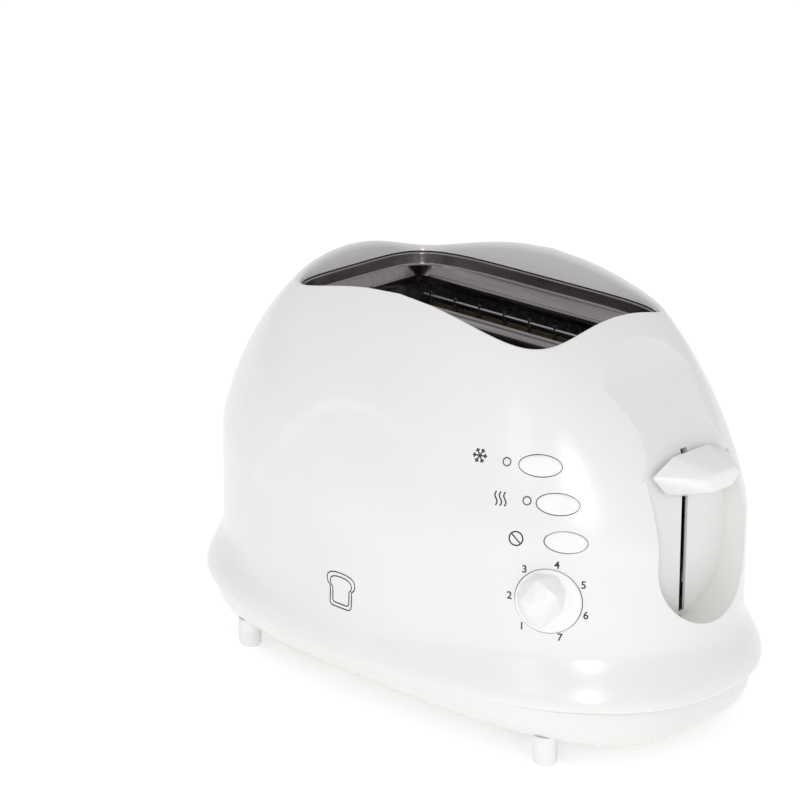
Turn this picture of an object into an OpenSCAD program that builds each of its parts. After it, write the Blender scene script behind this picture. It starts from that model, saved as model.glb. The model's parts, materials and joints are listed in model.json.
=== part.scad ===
// Two-slot pop-up toaster: an oval moulded body on four feet, with a recessed
// metal top, a sliding carriage, a browning dial and three push buttons.
// +X is the lever end, -Y is the control side, +Z is up, millimetres.

/* [Body] */
// Overall length, over the skirt
body_l = 264.2; // [255:0.1:275]
// Overall width, over the skirt
body_w = 158.8; // [152:0.1:164]
// Overall height, feet included
body_h = 172.4; // [170:0.1:176]
// Wall thickness of the mouldings
wall = 2.4; // [2:0.1:3]
// Gap between a moving part and its opening
gap = 0.5; // [0.3:0.1:0.8]

/* [Top opening] */
// Half length of the opening's crest
crest_x = 73.2; // [72:0.1:75]
// Half width of the opening's crest
crest_y = 45.2; // [44.5:0.1:46.5]
// Height of the metal top's rim
rim_z = 159.9; // [159:0.1:161]
// Height of the slots' edges
slot_z = 150; // [148:0.5:151]
// Length of one bread slot
slot_l = 131; // [126:1:132]
// Width of one bread slot
slot_w = 30.4; // [28:0.2:31]
// Width of the bridge between the slots
bridge_w = 8.8; // [8:0.2:10]

/* [Carriage] */
// Travel of the lever
lever_travel = 44; // [38:1:44]
// Height of the lever's arm at the top of its travel
arm_z = 116; // [114:1:117]
// Diameter of a guide rod
rod_d = 4; // [3:0.5:5]

/* [Controls] */
// Travel of a push button
button_travel = 1.6; // [1:0.1:2]
// Length of a button's oval face
button_l = 16.6; // [15:0.2:19]
// Height of a button's oval face
button_h = 8.2; // [8:0.2:11]
// Diameter of the dial's disc
dial_d = 26; // [22:0.5:28]

/* [Feet] */
// Diameter of a foot
foot_d = 9.5; // [8:0.5:11]
// Half distance between feet along the length
foot_x = 84; // [80:1:88]
// Half distance between feet across the width
foot_y = 49.3; // [44:0.1:51]

/* [Hidden] */

columns = 84;          // points round each ring of the mouldings
skirt_z = 28.5;        // lower edge of the skirt
wall_a = body_l / 2 - 5.9;
wall_b = body_w / 2 - 2.9;
crown_z = 91.4;        // where the upright wall starts to curve inwards
crown_power = 1.418;   // shape of that curve: 1 is an ellipse
base_z = 10;           // underside of the base
floor_x = 110;         // the upright floor of the lever's recess
end_x = 66.5;          // inner face of a chassis end plate
well_y = (bridge_w + slot_w) / 2;  // middle of a bread slot
rod_x = 80;
rod_y = 15.4;
rod_bottom = 33;
tray_l = 108;          // the crumb tray, along the body
rod_top = 143;
heater_y = 38.6;       // an outer heater card
reflector_y = 43;
chassis_bottom = 34;
chassis_top = 147;
lid_ring = 5;          // squareness of the crest's outline
dish_z = 154.3;        // foot of the metal top's upright wall

// The controls sit on the curved front right corner, square to this direction.
panel_turn = 30.6;     // degrees from the front towards the lever end
board_out = 71;        // distance of the circuit board's back from the middle
board_t = 1.6;
dial_pos = [89.6, -55.2, 71.4];
dial_side = 49;        // the dial's place along the panel
button_pos = [[81.4, -51.6, 123.2], [90, -51, 109.7], [94.7, -51.5, 95.6]];
button_lean = [18.6, 15.2, 8];   // how far each face leans back, degrees
switch_foot = [13.3, 17.1, 19.7];  // from each button's face down to the circuit board
lamp_pos = [[69.6, -57.4, 123.4], [79.6, -56.9, 110.1]];
lamp_turn = [22.8, 26.8];
lamp_lean = [17.5, 14];
lamp_d = 3.3;

function sgn(v) = v < 0 ? -1 : 1;
function mix(a, b, k) = a + (b - a) * k;
function ease(k) = k <= 0 ? 0 : k >= 1 ? 1 : k * k * (3 - 2 * k);
// Angle of a column, closer together at the two ends of the body
function turn(i) = let (u = 360 * i / columns) u - 10 * sin(2 * u);
// A point of a superellipse with half axes a and b and squareness n
function oval(a, b, n, t) =
  [a * sgn(cos(t)) * pow(abs(cos(t)), 2 / n), b * sgn(sin(t)) * pow(abs(sin(t)), 2 / n)];
function oval_points(l, h, count) = [for (i = [0:count - 1])
  [l / 2 * cos(360 * i / count), h / 2 * sin(360 * i / count)]];

// Height of the crest, which dips towards the corners of the opening
function crest_height(x, y) = let (u = abs(x) / crest_x, v = abs(y) / crest_y)
  body_h - 3.75 * u * u - 12.15 * pow(u, 1.71) * pow(v, 1.89);
// A point of the crown, k from 0 at the upright wall to 1 at the crest
function crown_point(t, k, in) =
  let (foot = oval(wall_a - in, wall_b - in, 2.07, t),
    edge = oval(crest_x, crest_y, lid_ring, t),
    top = crest_height(edge.x, edge.y) - in,
    lean = 75 - 10 * pow(cos(t), 2),
    f = (1 - pow(cos(k * lean), crown_power)) / (1 - pow(cos(lean), crown_power)),
    g = pow(sin(k * lean) / sin(lean), crown_power))
  [mix(foot.x, edge.x, f), mix(foot.y, edge.y, f), mix(crown_z, top, g)];
// A point of the skirt and the upright wall at height z
function wall_point(t, z, in) =
  let (flare = 1 - ease((z - 31) / 21),
    lip = z < 31 ? 1.6 : 0,
    p = oval(mix(wall_a, body_l / 2 - lip, flare) - in, mix(wall_b, body_w / 2 - lip, flare) - in,
      mix(2.07, 2.29, flare), t))
  [p.x, p.y, z];

// The end face is flat across and follows the crown's shoulder line upwards
function end_face(z) = z < 149 ? floor_x - 22 * pow(max(0, z - 118) / 32, 1.6)
  : floor_x - 20.9 - 0.62 * (z - 149);
function flattened(p, in) = p.z < 112 ? p : [min(p.x, end_face(p.z + in / 2) - 0.8 * in), p.y, p.z];

// A closed surface through rings of equal length: the last ring joins the first
module loft_loop(rings) {
  n = len(rings[0]);
  m = len(rings);
  polyhedron(points = [for (r = rings) each r],
    faces = [for (j = [0:m - 1], i = [0:n - 1]) each [
      [j * n + i, (j + 1) % m * n + i, j * n + (i + 1) % n],
      [j * n + (i + 1) % n, (j + 1) % m * n + i, (j + 1) % m * n + (i + 1) % n]]]);
}

// The moulded shell: up the outside, over the crest, down the lip and back inside
module shell() {
  wall_heights = [skirt_z, 31.2, 36, 41, 46, 52, 58, 65, 73, 82, 91.3];
  crown_steps = [0.14, 0.26, 0.38, 0.5, 0.61, 0.71, 0.8, 0.88, 0.95, 1];
  inner_steps = [0.96, 0.8, 0.6, 0.4, 0.2];
  inner_heights = [90, 78, 66, 56, 46, 38, skirt_z];
  lip = [[1.4, -1, 0], [2, 0, 160.3], [2 - wall, 0, 160.3]];
  loft_loop([
    for (z = wall_heights) [for (i = [0:columns - 1]) wall_point(turn(i), z, 0)],
    for (k = crown_steps) [for (i = [0:columns - 1]) flattened(crown_point(turn(i), k, 0), 0)],
    for (s = lip) [for (i = [0:columns - 1])
      let (t = turn(i), p = oval(crest_x - s[0], crest_y - s[0], lid_ring, t))
      [p.x, p.y, s[2] > 0 ? s[2] : crest_height(p.x, p.y) + s[1]]],
    for (k = inner_steps) [for (i = [0:columns - 1])
      flattened(crown_point(turn(i), k, wall), wall)],
    for (z = inner_heights) [for (i = [0:columns - 1])
      wall_point(turn(i), z, z > 50 ? wall : wall + 0.3)]
  ]);
}

// Puts children at a point of the panel, with +Z pointing out of the surface
module facing(pos, turned, lean) {
  translate(pos) rotate([0, 0, turned]) rotate([90 - lean, 0, 0]) children();
}

// The recess under the handle: upright floor, straight sides and a rounded foot
module tongue(half_w, foot_z, top_z, deep) {
  rotate([90, 0, 90]) linear_extrude(deep) {
    translate([-half_w, foot_z + half_w]) square([2 * half_w, top_z - foot_z - half_w]);
    translate([0, foot_z + half_w]) circle(half_w, $fn = 64);
  }
}
module recess() {
  hull() {
    translate([floor_x, 0, 0]) tongue(24.6, 56.6, 119, 0.1);
    translate([floor_x + 18, 0, 0]) tongue(27.6, 57.6, 119, 0.1);
  }
}
// The wall behind the recess, kept inside the curve of the body
module recess_wall() {
  intersection() {
    translate([floor_x - wall, 0, 0]) tongue(28, 54, 119, 18);
    translate([0, 0, 50]) linear_extrude(80)
      polygon([for (i = [0:columns - 1]) oval(wall_a - 0.6, wall_b - 0.6, 2.07, turn(i))]);
    translate([0, 30, 0]) rotate([90, 0, 0]) linear_extrude(60)
      polygon([[107, 53], [126, 53], [126, 62], [118.5, 70], [117.3, 91], [114.8, 101],
        [112, 108], [110.1, 114], [107, 119]]);
  }
}

module housing() {
  color("white") difference() {
    union() {
      shell();
      recess_wall();
    }
    recess();
    translate([100, -1.8, 57]) cube([15, 3.6, 67]);
    for (i = [0:2]) facing(button_pos[i], panel_turn, button_lean[i])
      translate([0, 0, -9]) linear_extrude(18)
        polygon(oval_points(button_l + 2 * gap, button_h + 2 * gap, 32));
    for (i = [0:1]) facing(lamp_pos[i], lamp_turn[i], lamp_lean[i])
      translate([0, 0, -6]) cylinder(d = lamp_d + 0.2, h = 10, $fn = 32);
    facing(dial_pos, panel_turn, 0) translate([0, 0, -8])
      cylinder(d = dial_d + 2 * gap, h = 14, $fn = 64);
    translate([100, -7, 55]) cube([floor_x - 101.2, 14, 62]);
  }
}

// The base: a shallow tub that closes the body from below
function base_ring(s, in) = [for (i = [0:columns - 1])
  let (p = oval(s[1] - in, s[2] - in, s[3], turn(i))) [p.x, p.y, s[0]]];
module base_tub() {
  outside = [[base_z, 112, 51, 3.2], [10.6, 117, 55.5, 3.2], [12.4, 121, 59.8, 3.1],
    [16, 123.6, 64.8, 2.9], [21, 125, 69.6, 2.7], [27, 125.6, 73.2, 2.5], [28.2, 124.8, 73, 2.35],
    [34, 124.6, 73, 2.3]];
  inside = [[34, 122.4, 70.8, 2.3], [27, 123, 70.8, 2.5], [21, 122.4, 67, 2.7],
    [16, 120.6, 62, 2.9], [base_z + 2.4, 116, 55, 3.2]];
  loft_loop([
    [for (i = [0:columns - 1]) let (p = oval(20, 10, 2, turn(i))) [p.x, p.y, base_z]],
    for (s = outside) base_ring(s, 0),
    for (s = inside) base_ring(s, 0),
    [for (i = [0:columns - 1]) let (p = oval(20, 10, 2, turn(i))) [p.x, p.y, base_z + 2.4]]
  ]);
}
module base_pan() {
  color("white") difference() {
    union() {
      base_tub();
      translate([0, 0, base_z]) cylinder(r = 24, h = 2.4, $fn = 48);
      for (x = [-1, 1], y = [-1, 1]) {
        translate([x * foot_x, y * foot_y, 14]) cylinder(d = 10, h = 5, $fn = 32);
        translate([x * 60, y * 36, base_z]) cylinder(d = 9, h = 23, $fn = 32);
      }
    }
    for (x = [-1, 1], y = [-1, 1]) {
      translate([x * foot_x, y * foot_y, 0]) cylinder(d = 6.06, h = 30, $fn = 32);
      translate([x * foot_x, y * foot_y, 0]) cylinder(d = foot_d + 0.2, h = 12.6, $fn = 32);
      translate([x * 60, y * 36, 0]) cylinder(d = 3.1, h = 40, $fn = 24);
      translate([x * 60, y * 36, 0]) cylinder(d = 7, h = 13, $fn = 24);
    }
    translate([-tray_l / 2 - 0.4, 40, 14]) cube([tray_l + 0.8, 40, 7.2]);
    translate([-92, 40, 22]) rotate([-90, 0, 0]) cylinder(d = 9.1, h = 40, $fn = 32);
  }
}

module feet() {
  color("white") for (x = [-1, 1], y = [-1, 1]) translate([x * foot_x, y * foot_y, 0])
    rotate_extrude($fn = 48) polygon([[0, 0], [foot_d / 2 - 1.6, 0], [foot_d / 2 - 0.5, 0.5],
      [foot_d / 2, 1.6], [foot_d / 2, 12.5], [3, 12.5], [3, 18.6], [0, 18.6]]);
}

// Screws that come up through the base into the chassis floor
module base_screws() {
  color("silver") for (x = [-1, 1], y = [-1, 1]) translate([x * 60, y * 36, 0]) difference() {
    union() {
      translate([0, 0, 10.6]) cylinder(d = 6, h = 2.4, $fn = 32);
      translate([0, 0, 12]) cylinder(d = 3, h = 23.4, $fn = 24);
    }
    translate([-0.5, -2.2, 10]) cube([1, 4.4, 1.6]);
    translate([-2.2, -0.5, 10]) cube([4.4, 1, 1.6]);
  }
}

module rounded_bar(l, w, r, h) {
  linear_extrude(h) union() {
    square([l - 2 * r, w], center = true);
    square([l, w - 2 * r], center = true);
    for (x = [-1, 1], y = [-1, 1]) translate([x * (l / 2 - r), y * (w / 2 - r)])
      circle(r = r, $fn = 48);
  }
}
// The dished metal top: a rim under the body's lip, an upright wall and two slots
module crest_slab(in, h) {
  linear_extrude(h) polygon([for (i = [0:71]) oval(crest_x - in, crest_y - in, lid_ring, 5 * i)]);
}
module dish(drop, in) {
  hull() {
    translate([0, 0, dish_z - drop]) crest_slab(in, drop + 0.1);
    translate([0, 0, slot_z - drop]) rounded_bar(slot_l + 4, 2 * slot_w + bridge_w + 4, 5, 0.1);
  }
}
module top_plate() {
  flange = 3.2;    // depth of the turned edge round each slot
  sheet = 0.8;
  color("silver") difference() {
    union() {
      translate([0, 0, rim_z - sheet]) crest_slab(0.9, sheet);
      translate([0, 0, dish_z]) crest_slab(2.4, rim_z - dish_z);
      dish(sheet, 2.4);
      for (y = [-1, 1]) translate([0, y * well_y, slot_z - flange])
        rounded_bar(slot_l + 2 * sheet, slot_w + 2 * sheet, 3.8, flange);
      translate([-slot_l / 2, -bridge_w / 2, slot_z - 12]) cube([slot_l, bridge_w, 12]);
    }
    translate([0, 0, dish_z]) crest_slab(2.4 + sheet, 8);
    dish(0, 2.4 + sheet);
    for (y = [-1, 1]) translate([0, y * well_y, slot_z - 20]) rounded_bar(slot_l, slot_w, 3, 30);
    translate([-slot_l / 2 - 1, sheet - bridge_w / 2, slot_z - 20])
      cube([slot_l + 2, bridge_w - 2 * sheet, 20 - sheet]);
  }
}

module end_plate(side) {
  difference() {
    union() {
      translate([0, -46, chassis_bottom]) cube([0.9, 92, chassis_top - chassis_bottom]);
      for (y = [-46, 45.1]) translate([side > 0 ? 0 : -5, y, chassis_bottom])
        cube([5.9, 0.9, chassis_top - chassis_bottom - 12]);
      translate([side > 0 ? 0 : -7, -46, chassis_bottom]) cube([7.9, 92, 0.9]);
    }
    for (y = [-1, 1]) translate([-1, y * well_y - 2.6, arm_z - 24 - lever_travel])
      cube([3, 5.2, lever_travel + 20]);
    if (side > 0) translate([4.5, 0, chassis_bottom - 1]) cylinder(d = 3.1, h = 3, $fn = 24);
    if (side < 0) translate([-3.6, 0, chassis_bottom - 1]) cylinder(d = 3.1, h = 3, $fn = 24);
  }
}
module chassis_end_left() {
  color("lightgray") translate([-end_x - 0.9, 0, 0]) end_plate(-1);
}
module chassis_end_right() {
  color("lightgray") translate([end_x, 0, 0]) end_plate(1);
}
// The frame under the wells, open in the middle so that crumbs fall through
module chassis_floor() {
  color("lightgray") difference() {
    translate([-76, -46, chassis_bottom - 1]) cube([178, 92, 1]);
    translate([-58, -30, chassis_bottom - 2]) cube([116, 60, 3]);
    for (x = [-1, 1], y = [-1, 1]) translate([x * 60, y * 36, chassis_bottom - 2])
      cylinder(d = 3.1, h = 3, $fn = 24);
    for (y = [-1, 1]) translate([rod_x, y * rod_y, chassis_bottom - 2])
      cylinder(d = rod_d + 0.1, h = 3, $fn = 32);
    for (x = [-71, 71]) translate([x, 0, chassis_bottom - 2]) cylinder(d = 3.1, h = 3, $fn = 24);
    translate([84, -46.5, chassis_bottom - 2]) cube([30, 22, 4]);
    translate([84, 24.5, chassis_bottom - 2]) cube([30, 22, 4]);
  }
}
module chassis_screws() {
  color("silver") for (x = [-71, 71]) translate([x, 0, 0]) difference() {
    union() {
      translate([0, 0, chassis_bottom + 1]) cylinder(d = 5.4, h = 2, $fn = 32);
      translate([0, 0, chassis_bottom - 4]) cylinder(d = 3, h = 6, $fn = 24);
    }
    translate([-0.4, -2, chassis_bottom + 2]) cube([0.8, 4, 2]);
  }
}

module reflector(side) {
  translate([-end_x + 0.2, side * reflector_y - 0.3, chassis_bottom + 0.2])
    cube([2 * end_x - 0.4, 0.6, chassis_top - chassis_bottom - 2]);
  translate([-end_x + 0.2, side * reflector_y - (side > 0 ? 3 : 0), chassis_bottom + 0.2])
    cube([2 * end_x - 0.4, 3, 0.6]);
}
module reflector_front() { color("gainsboro") reflector(-1); }
module reflector_back() { color("gainsboro") reflector(1); }

// A heater card: a mica sheet with tabs at its ends
module mica(y) {
  translate([-62, y - 0.4, 44]) cube([124, 0.8, 94]);
  for (x = [-66, 62], z = [52, 88, 124]) translate([x, y - 0.4, z]) cube([4, 0.8, 8]);
}
module mica_front() { color("tan") mica(-heater_y); }
module mica_center() { color("tan") mica(0); }
module mica_back() { color("tan") mica(heater_y); }

// Flat resistance wire laid to and fro over one face of a card
module heater_wire(y) {
  rows = 11;
  pitch = 7.6;
  z0 = 52;
  translate([0, y, 0]) rotate([90, 0, 0]) linear_extrude(0.5) union() {
    for (i = [0:rows - 1]) translate([-58, z0 + i * pitch]) square([116, 1.4]);
    for (i = [0:rows - 2]) translate([i % 2 == 0 ? 56.6 : -58, z0 + i * pitch])
      square([1.4, pitch + 1.4]);
    translate([-58, 44.5]) square([1.4, 8]);
    translate([56.6, z0 + (rows - 1) * pitch]) square([1.4, 9]);
  }
}
module heater_wire_front() { color("dimgray") heater_wire(0.95 - heater_y); }
module heater_wire_center() { color("dimgray") heater_wire(-0.45); }
module heater_wire_back() { color("dimgray") heater_wire(heater_y - 0.45); }

// Upright wires that keep the bread off the heaters, both sides of one well
module bread_guards(side) {
  for (y = [7.4, 31.8]) {
    for (i = [0:8]) translate([-56 + 14 * i, side * y, 41]) cylinder(d = 1.6, h = 104, $fn = 16);
    for (z = [42, 143]) translate([-60, side * y, z])
      rotate([0, 90, 0]) cylinder(d = 1.6, h = 120, $fn = 16);
  }
}
module bread_guards_front() { color("silver") bread_guards(-1); }
module bread_guards_back() { color("silver") bread_guards(1); }

module guide_rods() {
  color("silver") for (y = [-1, 1]) translate([rod_x, y * rod_y, rod_bottom])
    cylinder(d = rod_d, h = rod_top - rod_bottom, $fn = 32);
}
// Holds the tops of the guide rods and the fixed end of the spring
module rod_bridge() {
  color("lightgray") difference() {
    union() {
      translate([end_x + 1, -22, 140]) cube([24, 44, 1.2]);
      translate([end_x + 1, -22, 128]) cube([1, 44, 13]);
    }
    for (y = [-1, 1]) translate([rod_x, y * rod_y, 139])
      cylinder(d = rod_d + 0.1, h = 4, $fn = 32);
  }
}

// The lever: a faceted wedge that nests in the recess
module lever_handle() {
  r = 0.8;
  corners = [[112, 10, 123.2], [112.6, 22.4, 118.3], [112, 13.2, 109.8], [112, 3, 106.6],
    [128, 6, 119.6], [128.4, 9, 118], [127.8, 6, 113.2]];
  color("white") difference() {
    hull() for (p = corners, s = [-1, 1]) translate([p.x, s * p.y, p.z]) sphere(r, $fn = 16);
    translate([108, -1.35, arm_z - 4.1]) cube([14, 2.7, 8.2]);
  }
}
module lever_arm() {
  color("silver") difference() {
    union() {
      translate([84.9, -1.2, arm_z - 4]) cube([36.5, 2.4, 8]);
      translate([84.9, -9, arm_z - 12]) cube([1.2, 18, 16]);
    }
    for (y = [-6, 6]) translate([84, y, arm_z - 8]) rotate([0, 90, 0])
      cylinder(d = 3.1, h = 4, $fn = 24);
  }
}
// Slides on the two guide rods in bushes, and carries both racks
module carriage_bracket() {
  color("lightgray") difference() {
    union() {
      translate([72, -22, arm_z - 13]) cube([12.8, 44, 1.4]);
      translate([83.6, -22, arm_z - 13]) cube([1.2, 44, 15]);
      for (y = [-1, 1]) translate([rod_x, y * rod_y, arm_z - 13])
        cylinder(d = 8, h = 15, $fn = 32);
    }
    for (y = [-1, 1]) translate([rod_x, y * rod_y, arm_z - 14])
      cylinder(d = rod_d + 0.12, h = 20, $fn = 48);
  }
}
module bread_rack(side) {
  y = side * well_y;
  top = arm_z - 13.3;
  translate([-64, y - 5, top - 1.2]) cube([127, 10, 1.2]);
  for (i = [0:6]) translate([-57 + 18 * i, y - 5, top - 1.2]) cube([1.2, 10, 4]);
  translate([-64, y - 1.8, top - 6]) cube([148.6, 3.6, 1.2]);
  translate([-64, y - 1.8, top - 6]) cube([1.2, 3.6, 6]);
  translate([62, y - 1.8, top - 6]) cube([1.2, 3.6, 6]);
  translate([-68.5, y - 1.8, top - 6]) cube([5, 3.6, 1.2]);
  translate([73, y - 1.8, top - 6]) cube([1.2, 3.6, 6]);
}
module bread_rack_front() { color("silver") bread_rack(-1); }
module bread_rack_back() { color("silver") bread_rack(1); }
// The steel plate that the magnet holds while the bread toasts
module latch_plate() {
  color("gray") translate([90, -8, arm_z - 24]) cube([14, 16, 1.6]);
  color("gray") translate([86.3, -5, arm_z - 24]) cube([1.2, 10, 18]);
  color("gray") translate([86.3, -5, arm_z - 24]) cube([5, 10, 1.6]);
}

// A pull spring between the carriage and the rod bridge
function coil_frame(a, r, pitch) = [r * cos(a), r * sin(a), pitch * a / 360];
module carriage_spring() {
  turns = 9;
  steps = 12;
  sides = 6;
  wire_r = 0.45;
  coil_r = 3.4;
  bottom = arm_z - 11.4;
  pitch = (139.8 - bottom - 2 * wire_r) / turns;
  count = turns * steps;
  rings = [for (i = [0:count]) let (a = 360 * i / steps, c = coil_frame(a, coil_r, pitch))
    [for (j = [0:sides - 1]) let (b = 360 * j / sides)
      [c.x + wire_r * cos(b) * cos(a), c.y + wire_r * cos(b) * sin(a), c.z + wire_r * sin(b)]]];
  color("silver") translate([76, 0, bottom + wire_r]) polyhedron(
    points = [for (r = rings) each r],
    faces = concat(
      [[for (j = [0:sides - 1]) j]],
      [for (i = [0:count - 1], j = [0:sides - 1]) let (a = i * sides, k = (j + 1) % sides)
        [a + j, a + sides + j, a + sides + k, a + k]],
      [[for (j = [sides - 1:-1:0]) count * sides + j]]));
}

module magnet_core() {
  color("gray") {
    translate([92, -4, chassis_bottom]) cube([10, 8, 2]);
    translate([97, 0, chassis_bottom + 2]) cylinder(d = 6, h = 11.4, $fn = 32);
  }
}
module magnet_coil() {
  color("peru") translate([97, 0, chassis_bottom + 2.1]) difference() {
    union() {
      cylinder(d = 14, h = 1, $fn = 32);
      cylinder(d = 12.6, h = 10, $fn = 32);
      translate([0, 0, 9]) cylinder(d = 14, h = 1, $fn = 32);
    }
    translate([0, 0, -1]) cylinder(d = 6.1, h = 14, $fn = 32);
  }
}
// The mains switch that the carriage closes at the bottom of its travel
module contact_block() {
  color("ivory") difference() {
    translate([69, 24.5, chassis_bottom + 1]) cube([14, 16, 9]);
    for (y = [27.5, 36]) translate([68, y, chassis_bottom + 4]) cube([13, 1.4, 7]);
  }
}
module contact_blades() {
  color("goldenrod") for (y = [27.7, 36.2]) {
    translate([69.5, y, chassis_bottom + 4.1]) cube([11, 1, 9]);
    translate([69.5, y, chassis_bottom + 13]) cube([4, 1, 6]);
  }
}

// Puts children in the panel's frame: X along the panel, Y up, Z out of it
module panel() {
  rotate([0, 0, panel_turn]) rotate([90, 0, 0]) children();
}
module circuit_board() {
  color("darkgreen") panel() difference() {
    translate([38.5, 50, board_out]) cube([26, 84, board_t]);
    for (p = [[42, 54], [60, 54], [60, 130]]) translate([p[0], p[1], board_out - 1])
      cylinder(d = 3.1, h = 4, $fn = 24);
    translate([dial_side, dial_pos.z, board_out - 1]) cylinder(d = 7, h = 4, $fn = 32);
  }
}
module board_standoffs() {
  color("white") panel() for (p = [[42, 54, 17.6], [60, 54, 11.5], [60, 130, 5.6]])
    translate([p[0], p[1], board_out + board_t]) difference() {
      cylinder(d = 6, h = p[2] - 1, $fn = 32);
      translate([0, 0, -1]) cylinder(d = 3.02, h = 5.5, $fn = 24);
    }
}
module board_screws() {
  color("silver") panel() for (p = [[42, 54], [60, 54], [60, 130]])
    translate([p[0], p[1], board_out - 2]) union() {
      cylinder(d = 5.4, h = 2, $fn = 32);
      cylinder(d = 3, h = 7, $fn = 24);
    }
}
module timer_pot() {
  color("royalblue") panel() translate([dial_side, dial_pos.z, board_out + board_t])
    difference() {
      union() {
        translate([-8, -8, 0]) cube([16, 16, 6]);
        translate([0, 0, 6]) cylinder(d = 9, h = 4, $fn = 32);
      }
      translate([0, 0, 1]) cylinder(d = 6.1, h = 12, $fn = 48);
    }
}
// A push button, its stem and the switch that it presses are on one slanted axis
module button(i) {
  facing(button_pos[i], panel_turn, button_lean[i]) {
    translate([0, 0, -4]) linear_extrude(4.2) polygon(oval_points(button_l, button_h, 32));
    translate([0, 0, -8]) cylinder(d = 4, h = 5, $fn = 32);
  }
}
module button_top() { color("white") button(0); }
module button_middle() { color("white") button(1); }
module button_bottom() { color("white") button(2); }
module tact_switches() {
  color("black") for (i = [0:2]) facing(button_pos[i], panel_turn, button_lean[i])
    union() {
      translate([-3, -3, -10.7 - button_travel]) cube([6, 6, 2.4]);
      translate([-1.5, -1.5, -switch_foot[i]]) cube([3, 3, switch_foot[i] - 8.3 - button_travel]);
    }
}
module led_lenses() {
  color("gray") for (i = [0:1]) facing(lamp_pos[i], lamp_turn[i], lamp_lean[i])
    translate([0, 0, -8]) {
      cylinder(d = lamp_d, h = 8.2, $fn = 32);
      cylinder(d = 4.6, h = 4, $fn = 32);
    }
}
module dial_shaft() {
  color("silver") facing(dial_pos, panel_turn, 0)
    translate([0, 0, -19]) cylinder(d = 6, h = 22, $fn = 48);
}
// The dial: a flush disc with a faceted grip
grip_top = [[-9.7, 2.1, 6.5], [-3.1, 11.1, 6.5], [4.6, 6.2, 9], [-4.1, 2.1, 10], [-7.4, -3.9, 6]];
grip_foot = [[-12.3, 1.5], [-10.6, 6.6], [-5.6, 11.2], [3.4, 11], [7, 5], [5.5, -4],
  [-2.5, -11.8], [-8, -9.4], [-11.2, -4.6]];
module dial_knob() {
  color("white") facing(dial_pos, panel_turn, 0) difference() {
    union() {
      translate([0, 0, -2.6]) cylinder(d = dial_d, h = 3.2, $fn = 64);
      hull() {
        for (p = grip_top) translate(p) cube(0.4, center = true);
        for (p = grip_foot) translate([p.x, p.y, 0.3]) cube(0.4, center = true);
      }
    }
    translate([0, 0, -3]) cylinder(d = 6.04, h = 6, $fn = 48);
  }
}

module crumb_tray() {
  color("silver") difference() {
    translate([-tray_l / 2, -45, 14.4]) cube([tray_l, 111, 6.4]);
    translate([-tray_l / 2 + 0.8, -44.2, 15.2]) cube([tray_l - 1.6, 108.6, 10]);
  }
}
// The bush that a mains lead passes through
module cord_bush() {
  color("white") translate([-92, 0, 22]) rotate([-90, 0, 0]) difference() {
    union() {
      translate([0, 0, 45]) cylinder(d = 9, h = 16, $fn = 32);
      translate([0, 0, 43.6]) cylinder(d = 12, h = 2.4, $fn = 32);
    }
    translate([0, 0, 40]) cylinder(d = 6.4, h = 40, $fn = 32);
  }
}

housing();
base_pan();
feet();
base_screws();
top_plate();
chassis_end_left();
chassis_end_right();
chassis_floor();
chassis_screws();
reflector_front();
reflector_back();
mica_front();
mica_center();
mica_back();
heater_wire_front();
heater_wire_center();
heater_wire_back();
bread_guards_front();
bread_guards_back();
guide_rods();
rod_bridge();
lever_handle();
lever_arm();
carriage_bracket();
bread_rack_front();
bread_rack_back();
latch_plate();
carriage_spring();
magnet_core();
magnet_coil();
contact_block();
contact_blades();
circuit_board();
board_standoffs();
board_screws();
timer_pot();
tact_switches();
led_lenses();
dial_knob();
dial_shaft();
button_top();
button_middle();
button_bottom();
crumb_tray();
cord_bush();
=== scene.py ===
# Pop-up toaster: a white moulded body, a bright metal top, a lever, a dial and three buttons.
# Shapes are worked out in millimetres and put into the scene in metres.
import json
from math import cos, pi, radians, sin, sqrt

import bmesh
import bpy
import numpy as np
from mathutils import Matrix, Vector
from mathutils.bvhtree import BVHTree


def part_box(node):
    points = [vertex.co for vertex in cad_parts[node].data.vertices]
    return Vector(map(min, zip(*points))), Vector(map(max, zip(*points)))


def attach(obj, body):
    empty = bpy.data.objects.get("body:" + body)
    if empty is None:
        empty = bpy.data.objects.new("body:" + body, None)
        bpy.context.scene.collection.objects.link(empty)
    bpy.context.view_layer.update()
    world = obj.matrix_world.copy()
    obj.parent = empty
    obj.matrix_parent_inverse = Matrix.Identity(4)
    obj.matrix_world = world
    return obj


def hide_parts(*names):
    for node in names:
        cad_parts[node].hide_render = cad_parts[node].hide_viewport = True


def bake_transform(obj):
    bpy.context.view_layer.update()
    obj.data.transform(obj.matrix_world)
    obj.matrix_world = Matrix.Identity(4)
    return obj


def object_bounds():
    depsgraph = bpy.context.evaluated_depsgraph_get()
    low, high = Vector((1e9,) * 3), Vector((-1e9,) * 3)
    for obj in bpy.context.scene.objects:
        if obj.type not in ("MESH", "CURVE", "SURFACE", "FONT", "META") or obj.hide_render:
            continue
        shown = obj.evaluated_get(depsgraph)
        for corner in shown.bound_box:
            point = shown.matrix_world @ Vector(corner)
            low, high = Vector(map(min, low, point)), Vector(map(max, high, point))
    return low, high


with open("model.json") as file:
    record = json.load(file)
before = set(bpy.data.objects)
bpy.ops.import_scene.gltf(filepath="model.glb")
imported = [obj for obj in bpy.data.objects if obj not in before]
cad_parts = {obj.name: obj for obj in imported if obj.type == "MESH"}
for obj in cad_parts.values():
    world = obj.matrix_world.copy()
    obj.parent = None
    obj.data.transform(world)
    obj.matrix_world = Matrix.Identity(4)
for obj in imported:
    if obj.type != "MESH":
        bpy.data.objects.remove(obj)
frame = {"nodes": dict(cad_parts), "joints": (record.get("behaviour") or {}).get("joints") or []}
nodes = frame["nodes"]
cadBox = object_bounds()
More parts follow.
